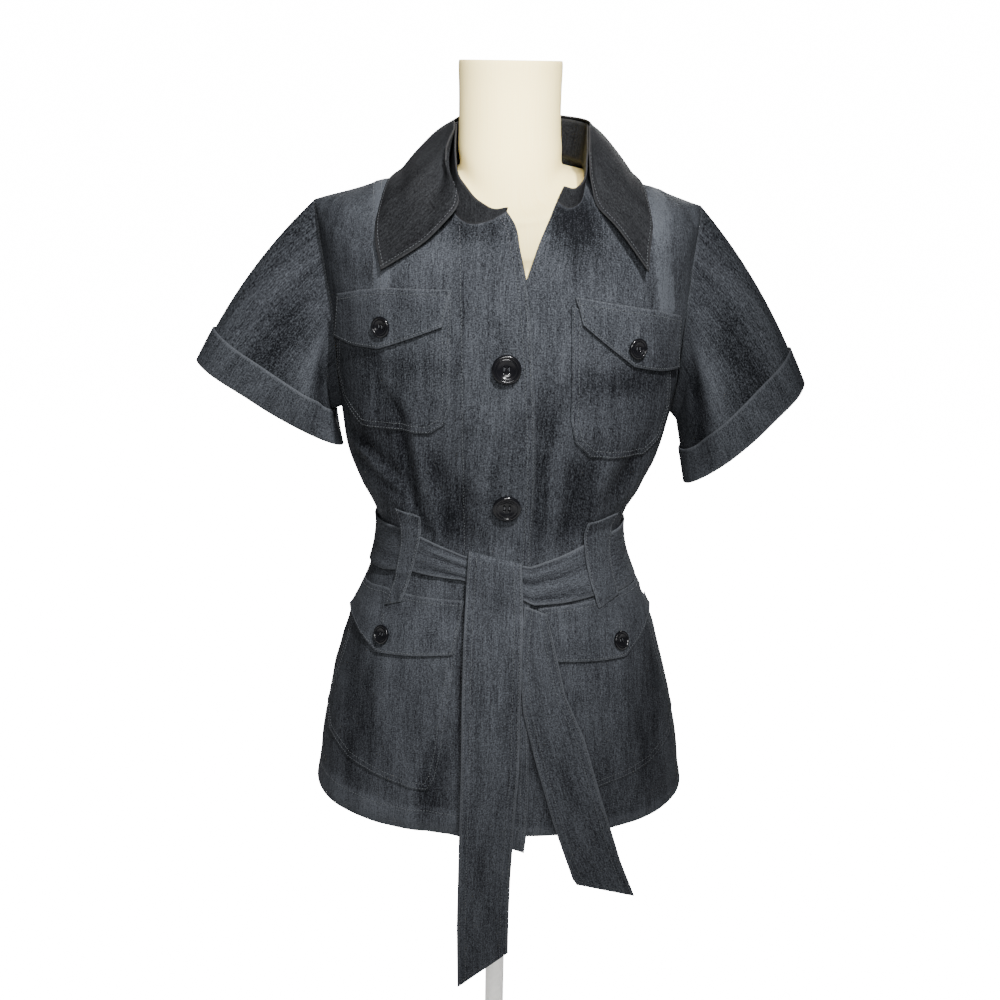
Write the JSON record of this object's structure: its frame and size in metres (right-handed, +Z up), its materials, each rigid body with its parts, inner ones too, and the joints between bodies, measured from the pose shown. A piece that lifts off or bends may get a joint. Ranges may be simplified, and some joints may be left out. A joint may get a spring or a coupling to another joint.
{
  "type": "safari jacket on dress form",
  "caption": "Short-sleeved belted safari jacket with flap pockets and turned-up cuffs, worn by a limbless dress form on a round base.",
  "frame": {"origin": "on the floor, centre of the underside of the round base", "axes": "+Z up, the jacket's front faces -Y, the wearer's left is +X"},
  "size_m": [0.616, 0.2948, 1.22],
  "materials": {
    "denim": "matt slubby twill",
    "collar_denim": "matt slubby twill",
    "button_plastic": "gloss",
    "linen": "plain weave",
    "stand_metal": "satin paint"
  },
  "bodies": {
    "root": {"front_right": "denim", "front_left": "denim", "back": "denim", "sleeve_right": "denim", "sleeve_left": "denim", "cuff_right": "denim", "cuff_left": "denim", "collar_stand": "collar_denim", "collar_leaf": "collar_denim", "chest_pocket_right": "denim", "chest_pocket_left": "denim", "hip_pocket_right": "denim", "hip_pocket_left": "denim", "chest_flap_right": "denim", "chest_flap_left": "denim", "hip_flap_right": "denim", "hip_flap_left": "denim", "chest_button_right": "button_plastic", "chest_button_left": "button_plastic", "hip_button_right": "button_plastic", "hip_button_left": "button_plastic", "front_button_high": "button_plastic", "front_button_low": "button_plastic", "belt_waist": "denim", "belt_loop_right": "denim", "belt_loop_left": "denim", "belt_end_long": "denim", "belt_end_short": "denim", "form_torso": "linen", "form_pole": "stand_metal", "form_base": "stand_metal"}
  },
  "joints": []
}
